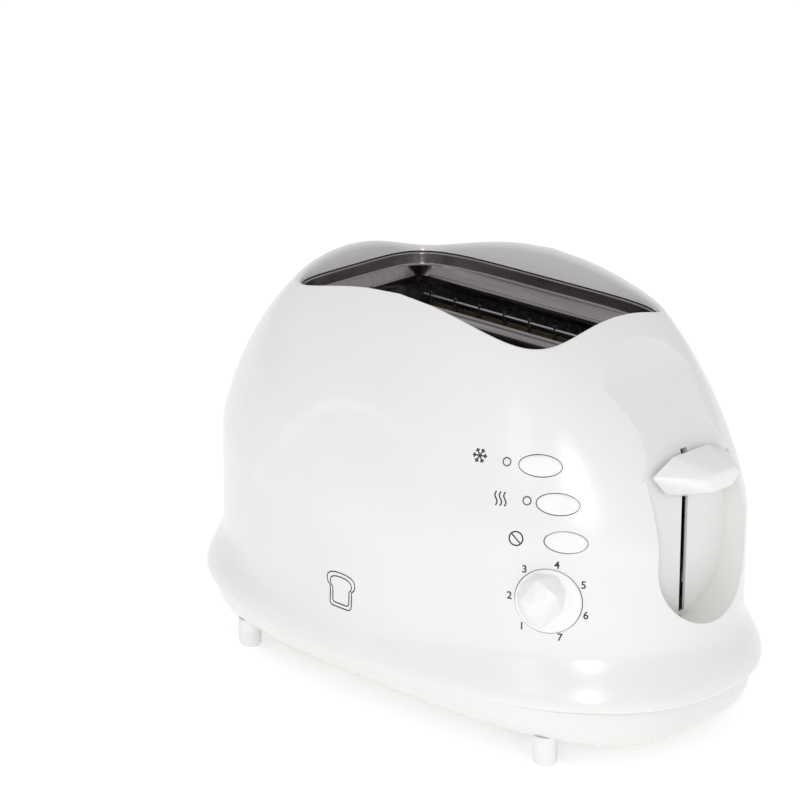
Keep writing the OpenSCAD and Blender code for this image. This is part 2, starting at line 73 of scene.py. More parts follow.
joints = {joint["name"]: joint for joint in frame["joints"]}
mm = 0.001
weld = dict(turned=0.0005, lofted=0.00001)    # points this close, in millimetres, are one


def boxOf(node):
    low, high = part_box(node)
    return low / mm, high / mm


def meshOf(name, bm):
    # turns a bmesh into a mesh and lets the bmesh go
    mesh = bpy.data.meshes.new(name)
    bm.to_mesh(mesh)
    bm.free()
    return mesh


def placed(name, data):
    # puts an object with the given data into the scene
    piece = bpy.data.objects.new(name, data)
    bpy.context.scene.collection.objects.link(piece)
    return piece


def newPiece(name, bm, body, finish, replaced=(), sharp=35):
    # makes a visible piece from a bmesh in millimetres
    bmesh.ops.scale(bm, vec=(mm, mm, mm), verts=bm.verts)
    mesh = meshOf(name, bm)
    mesh.materials.append(finish)
    mesh.shade_smooth()
    mesh.set_sharp_from_angle(angle=radians(sharp))
    piece = placed(name, mesh)
    if body:
        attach(piece, body)
    if replaced:
        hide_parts(*replaced)
    return piece


def faceOutwards(bm):
    bmesh.ops.recalc_face_normals(bm, faces=bm.faces)
    if bm.calc_volume(signed=True) < 0:
        bmesh.ops.reverse_faces(bm, faces=bm.faces)


def newCutter(bm):
    bmesh.ops.scale(bm, vec=(mm, mm, mm), verts=bm.verts)
    faceOutwards(bm)
    return placed("cutter", meshOf("cutter", bm))


def cutAway(piece, cutters):
    # takes the cutters' solids out of the piece, then removes the cutters
    for cutter in cutters:
        cut = piece.modifiers.new("cut", "BOOLEAN")
        cut.operation = "DIFFERENCE"
        cut.solver = "EXACT"
        cut.object = cutter
    graph = bpy.context.evaluated_depsgraph_get()
    mesh = bpy.data.meshes.new_from_object(piece.evaluated_get(graph), depsgraph=graph)
    piece.modifiers.clear()
    piece.data = mesh
    for cutter in cutters:
        bpy.data.objects.remove(cutter)


def facing(place, turned, lean):
    # a frame with Z out of a panel that is turned from the front and leans back
    return (Matrix.Translation(Vector(place)) @ Matrix.Rotation(radians(turned), 4, "Z")
            @ Matrix.Rotation(radians(90 - lean), 4, "X"))


def turnedShape(bm, profile, segments, matrix=Matrix()):
    # adds the closed solid that a profile of (radius, height) pairs spins about Z
    own = bmesh.new()
    verts = [own.verts.new((r, 0, z)) for r, z in profile]
    edges = [own.edges.new(pair) for pair in zip(verts, verts[1:])]
    bmesh.ops.spin(own, geom=verts + edges, cent=(0, 0, 0), axis=(0, 0, 1), angle=2 * pi,
                   steps=segments, use_merge=True)
    bmesh.ops.remove_doubles(own, verts=own.verts, dist=weld["turned"])
    bmesh.ops.transform(own, matrix=matrix, verts=own.verts)
    bmesh.ops.recalc_face_normals(own, faces=own.faces)
    bm.from_mesh(meshOf("turned", own))


def loftGrid(rows, closed=True):
    # a sheet through rows of points: each row closes on itself, and so do the rows if closed
    rowCount, columnCount = rows.shape[:2]
    spans = rowCount if closed else rowCount - 1
    bm = bmesh.new()
    bmesh.ops.create_grid(bm, x_segments=columnCount, y_segments=spans, size=1)
    for vert in bm.verts:
        i = round((vert.co.x + 1) / 2 * columnCount) % columnCount
        j = round((vert.co.y + 1) / 2 * spans) % rowCount
        vert.co = rows[j, i]
    bmesh.ops.remove_doubles(bm, verts=bm.verts, dist=weld["lofted"])
    return bm


def sCurve(k):
    k = np.clip(k, 0, 1)
    return k * k * (3 - 2 * k)


# finishes
def linear(hexColour):
    # sRGB hex to the renderer's linear colour
    channels = [int(hexColour[i:i + 2], 16) / 255 for i in (1, 3, 5)]
    return [c / 12.92 if c <= 0.04045 else ((c + 0.055) / 1.055) ** 2.4 for c in channels] + [1]


def addNode(tree, kind, inputs=None, **settings):
    # adds a node with its settings; an input may be a value or another node's output
    node = tree.nodes.new(kind)
    for key, value in settings.items():
        setattr(node, key, value)
    for key, value in (inputs or {}).items():
        if isinstance(value, bpy.types.NodeSocket):
            tree.links.new(value, node.inputs[key])
        else:
            node.inputs[key].default_value = value
    return node


def newFinish(name, colour, **sockets):
    # a material whose shader holds its fixed values; returns its tree, shader and place
    material = bpy.data.materials.new(name)
    material.use_nodes = True
    tree = material.node_tree
    shader = tree.nodes["Principled BSDF"]
    shader.inputs["Base Color"].default_value = linear(colour)
    for key, value in sockets.items():
        shader.inputs[key.replace("_", " ")].default_value = value
    place = addNode(tree, "ShaderNodeTexCoord").outputs["Object"]
    return material, tree, shader, place


def noiseBetween(tree, place, size, low, high, detail=4):
    # noise with features of a size in millimetres, spread between two values
    noise = addNode(tree, "ShaderNodeTexNoise",
                    {"Vector": place, "Scale": 1 / (size * mm), "Detail": detail})
    spread = addNode(tree, "ShaderNodeMapRange", {"Value": noise.outputs["Fac"], "From Min": 0.2,
                     "From Max": 0.8, "To Min": low, "To Max": high})
    spread.interpolation_type = "SMOOTHSTEP"
    return spread.outputs["Result"]


def tinted(tree, shader, factor, first, second):
    mix = addNode(tree, "ShaderNodeMix", data_type="RGBA")
    tree.links.new(factor, mix.inputs[0])
    mix.inputs[6].default_value = linear(first)     # sockets 6, 7 and 2 are the colour ones
    mix.inputs[7].default_value = linear(second)
    tree.links.new(mix.outputs[2], shader.inputs["Base Color"])


def bumped(tree, shader, height, strength, depth):
    bump = addNode(tree, "ShaderNodeBump", {"Height": height, "Strength": strength,
                   "Distance": depth * mm})
    tree.links.new(bump.outputs["Normal"], shader.inputs["Normal"])


def glossyAbs():
    # injection-moulded gloss ABS: an even milky white with broad, soft reflections
    material, tree, shader, place = newFinish("glossyAbs", "#E3E3E1", IOR=1.53, Coat_Weight=0.25,
                                              Coat_Roughness=0.06)
    tinted(tree, shader, noiseBetween(tree, place, 60, 0, 1), "#E1E1DE", "#E5E5E3")
    tree.links.new(noiseBetween(tree, place, 30, 0.22, 0.26, 1), shader.inputs["Roughness"])
    # the steel mould's polish leaves waves too shallow to feel
    bumped(tree, shader, noiseBetween(tree, place, 25, 0, 1, 0), 0.05, 0.01)
    return material


def satinAbs():
    # the same ABS from a finely blasted mould: fewer sharp reflections on what fingers touch
    material, tree, shader, place = newFinish("satinAbs", "#E9E9E8", IOR=1.53)
    tinted(tree, shader, noiseBetween(tree, place, 20, 0, 1), "#E7E7E5", "#EBEBEA")
    tree.links.new(noiseBetween(tree, place, 3, 0.3, 0.42), shader.inputs["Roughness"])
    bumped(tree, shader, noiseBetween(tree, place, 0.35, 0, 1, 2), 0.08, 0.02)
    return material


def mattRubber():
    # moulded white rubber and plain plastic trim: matt with a fine grain
    material, tree, shader, place = newFinish("mattRubber", "#E9EAE9", IOR=1.5)
    tinted(tree, shader, noiseBetween(tree, place, 6, 0, 1), "#E4E5E4", "#EEEFEE")
    tree.links.new(noiseBetween(tree, place, 2, 0.5, 0.68), shader.inputs["Roughness"])
    bumped(tree, shader, noiseBetween(tree, place, 0.3, 0, 1, 3), 0.2, 0.03)
    return material


def brightRolledSteel():
    # bright-rolled stainless: a dark mirror with faint rolling lines along its length
    material, tree, shader, place = newFinish("brightRolledSteel", "#878184", Metallic=1)
    lines = addNode(tree, "ShaderNodeMapping", {"Vector": place, "Scale": (0.03, 1, 1)})
    tinted(tree, shader, noiseBetween(tree, lines.outputs["Vector"], 1.2, 0, 1),
           "#827C80", "#908A8D")
    tree.links.new(noiseBetween(tree, lines.outputs["Vector"], 0.5, 0.13, 0.24),
                   shader.inputs["Roughness"])
    bumped(tree, shader, noiseBetween(tree, lines.outputs["Vector"], 0.5, 0, 1, 2), 0.1, 0.01)
    return material


def sheetMetal(name, first, second, spangle, low, high):
    # coated sheet: crystals of a size in millimetres, each with its own shade and gloss
    material, tree, shader, place = newFinish(name, first, Metallic=1)
    cells = addNode(tree, "ShaderNodeTexVoronoi", {"Vector": place, "Scale": 1 / (spangle * mm)})
    tone = addNode(tree, "ShaderNodeSeparateColor", {"Color": cells.outputs["Color"]})
    tinted(tree, shader, tone.outputs["Red"], first, second)
    gloss = addNode(tree, "ShaderNodeMapRange", {"Value": tone.outputs["Green"], "To Min": low,
                    "To Max": high})
    tree.links.new(gloss.outputs["Result"], shader.inputs["Roughness"])
    bumped(tree, shader, noiseBetween(tree, place, 0.8, 0, 1, 2), 0.1, 0.02)
    return material


def pressedMica():
    # pressed mica: amber flakes a few millimetres across with a waxy glint, coloured dark brown
    # instead of pale amber as painted shade for the inside of the slots
    material, tree, shader, place = newFinish("pressedMica", "#5B4F3B", IOR=1.58)
    flakes = addNode(tree, "ShaderNodeTexVoronoi", {"Vector": place, "Scale": 1 / (3 * mm)})
    tone = addNode(tree, "ShaderNodeSeparateColor", {"Color": flakes.outputs["Color"]})
    # both flake colours are darkened too: painted shade inside the slots
    tinted(tree, shader, tone.outputs["Red"], "#524631", "#645A46")
    tree.links.new(noiseBetween(tree, place, 2, 0.25, 0.5), shader.inputs["Roughness"])
    bumped(tree, shader, tone.outputs["Green"], 0.15, 0.05)
    return material


def drawnMetal(name, first, second, grain, low, high, depth=0.01):
    # wire, ribbon or turned stock: fine streaks of a width in millimetres
    material, tree, shader, place = newFinish(name, first, Metallic=1)
    streaks = noiseBetween(tree, place, grain, 0, 1, 3)
    tinted(tree, shader, streaks, first, second)
    tree.links.new(noiseBetween(tree, place, grain * 3, low, high), shader.inputs["Roughness"])
    bumped(tree, shader, streaks, 0.2, depth)
    return material


def windingCopper():
    # enamelled copper: turns of 0.45 mm wire lying side by side
    material, tree, shader, place = newFinish("windingCopper", "#A5532B", Metallic=1,
                                              Coat_Weight=0.6)
    turns = addNode(tree, "ShaderNodeTexWave", {"Vector": place, "Scale": 0.314 / (0.45 * mm)},
                    bands_direction="Z", wave_profile="SIN")
    # the colour follows the turns, dark in the grooves between them and light on their tops:
    # painted shade and painted highlight
    tinted(tree, shader, turns.outputs["Fac"], "#6E3118", "#BB6636")
    tree.links.new(noiseBetween(tree, place, 1, 0.22, 0.34), shader.inputs["Roughness"])
    bumped(tree, shader, turns.outputs["Fac"], 0.5, 0.15)
    return material


def mouldedPlastic(name, first, second, low, high, grain=0.5):
    # plain moulded plastic or ceramic with a slight grain in millimetres
    material, tree, shader, place = newFinish(name, first, IOR=1.5)
    tinted(tree, shader, noiseBetween(tree, place, 5, 0, 1), first, second)
    tree.links.new(noiseBetween(tree, place, 2, low, high), shader.inputs["Roughness"])
    bumped(tree, shader, noiseBetween(tree, place, grain, 0, 1, 3), 0.15, 0.03)
    return material


def frostedLens():
    # frosted white acrylic over an unlit lamp
    material, tree, shader, place = newFinish("frostedLens", "#EDEDEB", IOR=1.49,
                                              Transmission_Weight=0.1)
    tree.links.new(noiseBetween(tree, place, 1, 0.08, 0.16), shader.inputs["Roughness"])
    tinted(tree, shader, noiseBetween(tree, place, 1.5, 0, 1), "#E9E9E7", "#F2F2F0")
    return material


def paleFloor():
    material, tree, shader, place = newFinish("paleFloor", "#FFFFFF", IOR=1.3,
                                              Emission_Strength=0.26,
                                              Emission_Color=(1, 1, 1, 1))
    tinted(tree, shader, noiseBetween(tree, place, 300, 0, 1), "#FDFDFC", "#FFFFFF")
    shader.inputs["Roughness"].default_value = 0.7
    return material


bodyWhite = glossyAbs()
controlWhite = satinAbs()
trimWhite = mattRubber()
topSteel = brightRolledSteel()
zincSheet = sheetMetal("zincSheet", "#8E9092", "#A8AAAC", 5, 0.34, 0.5)
aluminisedSheet = sheetMetal("aluminisedSheet", "#8B8C8E", "#9A9B9C", 1.2, 0.24, 0.4)
micaInPaintedShade = pressedMica()
heaterRibbon = drawnMetal("oxidisedRibbon", "#453C38", "#5C514A", 0.4, 0.4, 0.6)
bareWire = drawnMetal("drawnSteelWire", "#8F8F90", "#A5A5A6", 0.25, 0.22, 0.38)
screwZinc = drawnMetal("zincPlatedScrew", "#85878A", "#A0A2A5", 0.3, 0.25, 0.42)
softIron = drawnMetal("softIron", "#565658", "#6C6C6E", 0.6, 0.4, 0.6)
coilCopper = windingCopper()
brassStrip = drawnMetal("brassStrip", "#B08A45", "#C7A25A", 0.5, 0.25, 0.42)
switchBody = mouldedPlastic("steatiteBlock", "#D3CCB8", "#DDD7C5", 0.5, 0.65)
boardGreen = mouldedPlastic("lacqueredBoard", "#1E5230", "#2A6A3F", 0.25, 0.4, 0.8)
blackNylon = mouldedPlastic("blackNylon", "#141415", "#202022", 0.4, 0.55)
potBlue = mouldedPlastic("potBlue", "#1F3C8C", "#2A4CA4", 0.3, 0.45)
printInk = mouldedPlastic("printInk", "#1A1A1B", "#262627", 0.45, 0.6)
lampGrey = mouldedPlastic("lampGrey", "#4B4C4E", "#5F6062", 0.3, 0.4)
lensGrey = frostedLens()
print("finishes made")

# the CAD nodes that stay as they are
keptFinishes = {
    zincSheet: ["chassis_end_left", "chassis_end_right", "chassis_floor", "rod_bridge",
                "carriage_bracket", "crumb_tray"],
    aluminisedSheet: ["reflector_front", "reflector_back"],
    # the mica's finish is darkened as painted shade inside the slots
    micaInPaintedShade: ["mica_front", "mica_center", "mica_back"],
    heaterRibbon: ["heater_wire_front", "heater_wire_center", "heater_wire_back"],
    bareWire: ["bread_guards_front", "bread_guards_back", "guide_rods", "bread_rack_front",
               "bread_rack_back", "lever_arm", "dial_shaft"],
    screwZinc: ["base_screws", "chassis_screws", "board_screws"],
    softIron: ["magnet_core", "latch_plate"],
    coilCopper: ["magnet_coil"],
    brassStrip: ["contact_blades"],
    switchBody: ["contact_block"],
    boardGreen: ["circuit_board"],
    blackNylon: ["tact_switches"],
    potBlue: ["timer_pot"],
    trimWhite: ["board_standoffs", "cord_bush"],
}
for finish, names in keptFinishes.items():
    for name in names:
        for slot in nodes[name].material_slots:
            slot.material = finish
print("kept nodes given their finishes")

# the body's shape
shape = dict(
    length=(cadBox[1][0] - cadBox[0][0]) / mm, width=(cadBox[1][1] - cadBox[0][1]) / mm,
    height=cadBox[1][2] / mm,
    # the upright wall, the skirt that flares out under it, and the skirt's rolled foot
    wallIn=5.9, wallSideIn=2.9, wallPower=2.07, skirtPower=2.29, skirtFoot=28.5,
    skirtWidest=31.2, flareTop=52, flareDrop=5, flareStraight=0.22, footIn=1.6, footRound=0.98,
    # the curve over the top: its lean in degrees, and how much less that is at the ends
    crownFoot=91.4, crownPower=1.418, crownLean=75, crownLeanLess=10,
    # the opening's edge, lower towards the ends and the corners
    crestX=73.2, crestY=45.2, crestPower=5, endFall=3.75, cornerFall=12.15,
    cornerPowerX=1.71, cornerPowerY=1.89, rimZ=160.3, rimIn=2,
    # the wall's thickness, and the flat lever end
    wall=2.4, skirtThicker=0.3, faceX=110, faceTop=118, faceLean=22, faceLeanOver=32,
    faceLeanPower=1.6, faceStraight=149, faceStraightIn=20.9, faceSlope=0.62,
    # where the wall is thicker behind the lever end
    thickFrom=112, thickUp=1.2, thickWall=1.9, recessFrom=52, recessHalf=29,
    columns=300, crowding=10,
)
# where the rows of the housing's grid lie, and the inset and drop of those on its lip
rowsAt = dict(
    skirt=[28.5, 28.56, 28.8, 29.2, 29.8, 30.5, 31.2],
    wall=np.linspace(32.3, shape["crownFoot"] - 0.6, 52), crown=np.linspace(0.025, 1, 76),
    lip=[(0.35, 0.02), (0.75, 0.12), (1.15, 0.45), (1.5, 1), (1.75, 1.8), (1.95, 3)],
    crownInside=[0.96, 0.88, 0.8, 0.7, 0.6, 0.5, 0.4, 0.3, 0.2],
    wallInside=[90, 82, 74, 66, 60, 56, 53], skirtInside=[51.5, 46, 41, 36, 31, 28.5],
)
# the arch pressed into the long sides; each fade has its start and its length
relief = dict(depth=0.75, width=3.2, points=240, rounding=12, footFade=(45, 8),
              sideFade=(30, 12),
              curve=[(0, 131.5), (13, 130), (26, 122.5), (41, 107.5), (53, 95), (62, 80),
                     (67, 69.5), (72, 62.5), (79, 56.5), (87, 51), (97, 46)])
wallA = shape["length"] / 2 - shape["wallIn"]
wallB = shape["width"] / 2 - shape["wallSideIn"]
steps = np.arange(shape["columns"]) * 2 * pi / shape["columns"]
# the columns crowd towards the two ends
around = steps - radians(shape["crowding"]) * np.sin(2 * steps)


def oval(a, b, power, t):
    c, s = np.cos(t), np.sin(t)
    return np.stack([a * np.sign(c) * abs(c) ** (2 / power),
                     b * np.sign(s) * abs(s) ** (2 / power)], axis=-1)


def crestHeight(x, y):
    u, v = abs(x) / shape["crestX"], abs(y) / shape["crestY"]
    corner = shape["cornerFall"] * u ** shape["cornerPowerX"] * v ** shape["cornerPowerY"]
    return shape["height"] - shape["endFall"] * u ** 2 - corner


def crownRow(k, inset=0):
    # one row of the crown, k from 0 at the upright wall to 1 at the crest
    foot = oval(wallA - inset, wallB - inset, shape["wallPower"], around)
    edge = oval(shape["crestX"], shape["crestY"], shape["crestPower"], around)
    top = crestHeight(edge[:, 0], edge[:, 1]) - inset
    lean = np.radians(shape["crownLean"] - shape["crownLeanLess"] * np.cos(around) ** 2)
    power = shape["crownPower"]
    inwards = (1 - np.cos(k * lean) ** power) / (1 - np.cos(lean) ** power)
    upwards = (np.sin(k * lean) / np.sin(lean)) ** power
    flat = foot + (edge - foot) * inwards[:, None]
    return np.column_stack([flat, shape["crownFoot"] + (top - shape["crownFoot"]) * upwards])


def wallRow(z, inset=0):
    # one row of the skirt and the upright wall at height z
    flareTop = shape["flareTop"] - shape["flareDrop"] * np.sin(around) ** 2
    k = np.clip((z - shape["skirtWidest"]) / (flareTop - shape["skirtWidest"]), 0, 1)
    straight = shape["flareStraight"]        # the straight part leaves a faint crease
    flare = 1 - ((1 - straight) * sCurve(k) + straight * k)
    below = max(0, shape["skirtWidest"] - z) / (shape["skirtWidest"] - shape["skirtFoot"])
    foot = shape["footIn"] * (1 - sqrt(1 - min(1, below) ** 2 * shape["footRound"]))
    a = wallA + (shape["wallIn"] - foot) * flare - inset
    b = wallB + (shape["wallSideIn"] - foot) * flare - inset
    power = shape["wallPower"] + (shape["skirtPower"] - shape["wallPower"]) * flare
    return np.column_stack([oval(a, b, power, around), np.full(len(around), float(z))])


def crestRow(inset, drop=None, z=None):
    # a row inside the opening's edge, at a drop below the crest or at one height
    flat = oval(shape["crestX"] - inset, shape["crestY"] - inset, shape["crestPower"], around)
    heights = crestHeight(flat[:, 0], flat[:, 1]) - drop if z is None else np.full(len(flat), z)
    return np.column_stack([flat, heights])


def faceLine(z):
    # the flat lever end's distance from the middle at height z
    if z < shape["faceStraight"]:
        up = max(0, z - shape["faceTop"]) / shape["faceLeanOver"]
        return shape["faceX"] - shape["faceLean"] * up ** shape["faceLeanPower"]
    return (shape["faceX"] - shape["faceStraightIn"]
            - shape["faceSlope"] * (z - shape["faceStraight"]))


def smoothLine(points, count):
    # points spaced along a curve through the given ones, symmetrical about the middle
    mirrored = [(-x, z) for x, z in points[:0:-1]] + list(points)
    data = np.array(mirrored, float)
    at = np.concatenate([[0], np.cumsum(np.hypot(*np.diff(data, axis=0).T))])
    fine = np.linspace(0, at[-1], count)
    line = np.column_stack([np.interp(fine, at, data[:, k]) for k in (0, 1)])
    for _ in range(relief["rounding"]):      # rounds the corners between the given points
        line[1:-1] = (line[:-2] + 2 * line[1:-1] + line[2:]) / 4
    return line


def pressRelief(rows):
    # sinks the part of each long side that lies under the arch line
    line = smoothLine(relief["curve"], relief["points"])
    tangent = np.gradient(line, axis=0)
    (footFrom, footOver), (sideFrom, sideOver) = relief["footFade"], relief["sideFade"]
    flat = rows.reshape(-1, 3)
    chunk = 4000                             # points worked on at a time, to spare memory
    for start in range(0, len(flat), chunk):
        part = flat[start:start + chunk]
        gap = part[:, None, [0, 2]] - line[None]
        nearest = np.argmin((gap ** 2).sum(-1), axis=1)
        away = gap[np.arange(len(part)), nearest]
        along = tangent[nearest]
        side = (along[:, 0] * away[:, 1] - along[:, 1] * away[:, 0]) / np.hypot(*along.T)
        inside = sCurve(0.5 - side / relief["width"])
        fade = (sCurve((part[:, 2] - footFrom) / footOver)
                * sCurve((abs(part[:, 1]) - sideFrom) / sideOver))
        sink = relief["depth"] * inside * fade
        out = np.column_stack([part[:, 0] / wallA ** 2, part[:, 1] / wallB ** 2])
        out /= np.maximum(np.hypot(*out.T), 1e-9)[:, None]
        part[:, :2] -= out * sink[:, None]


def housingMesh():
    outside = [wallRow(z) for z in rowsAt["skirt"]]
    outside += [wallRow(z) for z in rowsAt["wall"]]
    outside += [crownRow(k) for k in rowsAt["crown"]]
    outside = np.array(outside)
    pressRelief(outside)
    wall, rimIn, rimZ = shape["wall"], shape["rimIn"], shape["rimZ"]
    lip = [crestRow(inset, drop) for inset, drop in rowsAt["lip"]]
    lip += [crestRow(rimIn, z=rimZ), crestRow(rimIn - wall, z=rimZ)]
    inside = [crownRow(k, wall) for k in rowsAt["crownInside"]]
    inside += [wallRow(z, wall) for z in rowsAt["wallInside"]]
    inside += [wallRow(z, wall + shape["skirtThicker"]) for z in rowsAt["skirtInside"]]
    inside = np.array(inside)
    for row in inside:       # the lever end's wall is thicker behind its recess
        for point in row:
            if point[2] > shape["thickFrom"]:
                point[0] = min(point[0], faceLine(point[2] + shape["thickUp"])
                               - shape["thickWall"])
            elif point[2] > shape["recessFrom"] and abs(point[1]) < shape["recessHalf"]:
                point[0] = min(point[0], shape["faceX"] - wall)
    return loftGrid(np.concatenate([outside, np.array(lip), inside]))


def ringOf(bm, points):
    # a closed outline through the given points
    verts = [bm.verts.new(point) for point in points]
    edges = [bm.edges.new(pair) for pair in zip(verts, verts[1:] + verts[:1])]
    return verts, edges


def solidBetween(bm, first, second):
    # a closed solid between two outlines with the same number of points
    edges = []
    for points in (first, second):
        verts, ring = ringOf(bm, points)
        bm.faces.new(verts)
        edges += ring
    bmesh.ops.bridge_loops(bm, edges=edges)
    bmesh.ops.recalc_face_normals(bm, faces=bm.faces)


def prism(bm, outline, axis, reach):
    # a solid with a flat outline, from one place to another along axis 0, 1 or 2
    solidBetween(bm, *([(*p[:axis], at, *p[axis:]) for p in outline] for at in reach))


def tongue(x, halfWidth, foot, top, count=32):
    # an upright outline with a rounded foot
    arc = [(halfWidth * cos(pi + pi * i / count), foot + halfWidth * (1 + sin(pi + pi * i / count)))
           for i in range(count + 1)]
    return [(x, y, z) for y, z in [(-halfWidth, top)] + arc + [(halfWidth, top)]]


def ovalPoints(length, height, z, count=64):
    return [(length / 2 * cos(2 * pi * i / count), height / 2 * sin(2 * pi * i / count), z)
            for i in range(count)]


def circleAt(x, y, diameter, count=40):
    return [(px + x, py + y) for px, py, z in ovalPoints(diameter, diameter, 0, count)]


def ovalHole(bm, matrix, length, height, reach, count):
    # a cutter with an oval outline along the Z of a control's frame
    solidBetween(bm, *([matrix @ Vector(p) for p in ovalPoints(length, height, z, count)]
                       for z in reach))


# places of the controls, from the joints and the CAD nodes; a lamp has its place, turn and lean
controls = dict(panelTurn=30.6, buttonLength=16.6, buttonHeight=8.2, gap=0.3, dialDiameter=26,
                lampPlaces=[((69.6, -57.4, 123.4), 22.8, 17.5), ((79.6, -56.9, 110.1), 26.8, 14)],
                lampDiameter=3.5, faceDepth=0.05, capSink=0.2)
buttonCaps = {"button_top": "buttonTopCap", "button_middle": "buttonMiddleCap",
              "button_bottom": "buttonBottomCap"}


def buttonFrame(name):
    # the middle of the button's outer face, with Z out of it
    out = -Vector(joints[name + "_press"]["axis"]).normalized()
    ends = [v.co / mm for v in nodes[name].data.vertices]
    reach = max(v.dot(out) for v in ends)
    face = [v for v in ends if v.dot(out) > reach - controls["faceDepth"]]
    middle = sum(face, Vector()) / len(face)
    lean = np.degrees(np.arcsin(out.z))
    return facing(middle - out * controls["capSink"], controls["panelTurn"], lean)


buttonFrames = {name: buttonFrame(name) for name in buttonCaps}
dialFrame = facing(Vector(joints["dial_turn"]["pos_m"]) / mm, controls["panelTurn"], 0)
lampFrames = [facing(*lamp) for lamp in controls["lampPlaces"]]

# what is cut out of the housing
cuts = dict(
    # the flat lever end: heights along its line, half its width and how far out it is cut
    faceHeights=[117.5 + 4.5 * i for i in range(8)] + [149 + 8 * i for i in range(5)],
    faceHalf=60, faceOut=150,
    # half the width and the foot of the lever's recess, at its floor and at its mouth
    recessFloor=(24.6, 56.6), recessMouth=(28.9, 57.9), recessTop=119, recessDepth=26,
    # the lever's slot, and the pocket that thins the wall behind it
    slot=[(-1.8, 57), (1.8, 57), (1.8, 124), (-1.8, 124)], slotReach=(99, 118),
    pocket=[(-7, 55), (7, 55), (7, 117), (-7, 117)], pocketFrom=100, pocketWall=1.2,
    # how deep and how far out the controls' holes are cut
    buttonReach=(-9, 9), lampReach=(-6, 4), lampGap=0.1, dialReach=(-8, 6),
    # angles in degrees past which an edge is sharp: round a cut, and in the moulded body
    cutAngle=5, bodyAngle=32)


def makeHousing():
    housing = newPiece("housingShell", housingMesh(), "body", bodyWhite, ["housing"])
    bm = bmesh.new()
    bm.from_mesh(housing.data)
    bmesh.ops.recalc_face_normals(bm, faces=bm.faces)
    bm.to_mesh(housing.data)
    surface = BVHTree.FromBMesh(bm)
    bm.free()

    face, recess, holes, pocket = [bmesh.new() for _ in range(4)]
    heights, out = cuts["faceHeights"], cuts["faceOut"]
    profile = [(out, heights[0])] + [(faceLine(z), z) for z in heights] + [(out, heights[-1])]
    prism(face, profile, 1, (-cuts["faceHalf"], cuts["faceHalf"]))
    floorX, recessTop = shape["faceX"], cuts["recessTop"]
    solidBetween(recess, tongue(floorX, *cuts["recessFloor"], recessTop),
                 tongue(floorX + cuts["recessDepth"], *cuts["recessMouth"], recessTop))
    prism(holes, cuts["slot"], 0, cuts["slotReach"])
    length = controls["buttonLength"] + 2 * controls["gap"]
    height = controls["buttonHeight"] + 2 * controls["gap"]
    for matrix in buttonFrames.values():
        ovalHole(holes, matrix, length, height, cuts["buttonReach"], 64)
    size = controls["lampDiameter"] + cuts["lampGap"]
    for matrix in lampFrames:
        ovalHole(holes, matrix, size, size, cuts["lampReach"], 32)
    size = controls["dialDiameter"] + 2 * controls["gap"]
    ovalHole(holes, dialFrame, size, size, cuts["dialReach"], 96)
    prism(pocket, cuts["pocket"], 0, (cuts["pocketFrom"], floorX - cuts["pocketWall"]))

    # the cut faces get a material index of their own, so that the edges round them are found
    cutters = [newCutter(bm) for bm in (face, recess, holes, pocket)]
    for cutter in cutters:
        cutter.data.materials.append(bodyWhite)
        cutter.data.materials.append(bodyWhite)
        for polygon in cutter.data.polygons:
            polygon.material_index = 1
            polygon.use_smooth = True
    housing.data.materials.append(bodyWhite)
    cutAway(housing, cutters)
    bm = bmesh.new()
    bm.from_mesh(housing.data)
    for edge in bm.edges:
        if len(edge.link_faces) == 2:
            one, other = edge.link_faces
            angle = one.normal.angle(other.normal, 0)
            atCut = one.material_index != other.material_index
            edge.smooth = angle < radians(cuts["cutAngle"] if atCut else cuts["bodyAngle"])
    for bmFace in bm.faces:
        bmFace.smooth = True
        bmFace.material_index = 0
    bm.to_mesh(housing.data)
    bm.free()
    housing.data.materials.clear()
    housing.data.materials.append(bodyWhite)
    return housing, surface


housing, housingSurface = makeHousing()
print("housing: %d faces" % len(housing.data.polygons))

# the base: a shallow tub on four feet
base = dict(
    # height, half length, half width and squareness of the outside, from the middle outwards
    outside=[(10, 0, 0, 2), (10, 60, 28, 2.6), (10, 111, 50, 3.2), (10.25, 114.6, 53.4, 3.2),
             (11.2, 118.6, 57.4, 3.15), (12.8, 121.2, 60.2, 3.1), (16, 123.5, 64.8, 2.9),
             (21, 124.9, 69.5, 2.7), (27, 125.5, 73.1, 2.5), (28.2, 124.8, 73, 2.35),
             (34, 124.6, 73, 2.3)],
    inside=[(34, 122.4, 70.8, 2.3), (27, 123, 70.8, 2.5), (21, 122.4, 67, 2.7),
            (16, 120.6, 62, 2.9), (12.4, 116, 55, 3.2), (12.4, 0, 0, 2)],
    # place along x and y, diameter and top of the holes for the feet and the screws
    footHoles=(84, 49.3, 9.7, 12.6), screwHoles=(60, 36, 7, 13), holesFrom=8,
    trayGap=0.4, trayReach=(45, 85), bush=(-92, 22, 9.1), bushReach=(40, 85), perSpan=5,
    sharp=30)


def throughStations(stations, perSpan):
    # rows of a smooth curve through the stations, none of it beyond them
    data = np.array(stations, float)
    rows = []
    for i in range(len(data) - 1):
        before, after = data[max(i - 1, 0)], data[min(i + 2, len(data) - 1)]
        for k in np.arange(perSpan) / perSpan:
            first, last = (data[i + 1] - before) / 2, (after - data[i]) / 2
            row = (data[i] * (2 * k ** 3 - 3 * k ** 2 + 1) + first * (k ** 3 - 2 * k ** 2 + k)
                   + data[i + 1] * (3 * k ** 2 - 2 * k ** 3) + last * (k ** 3 - k ** 2))
            rows.append(np.clip(row, np.minimum(data[i], data[i + 1]),
                                np.maximum(data[i], data[i + 1])))
    return rows + [data[-1]]


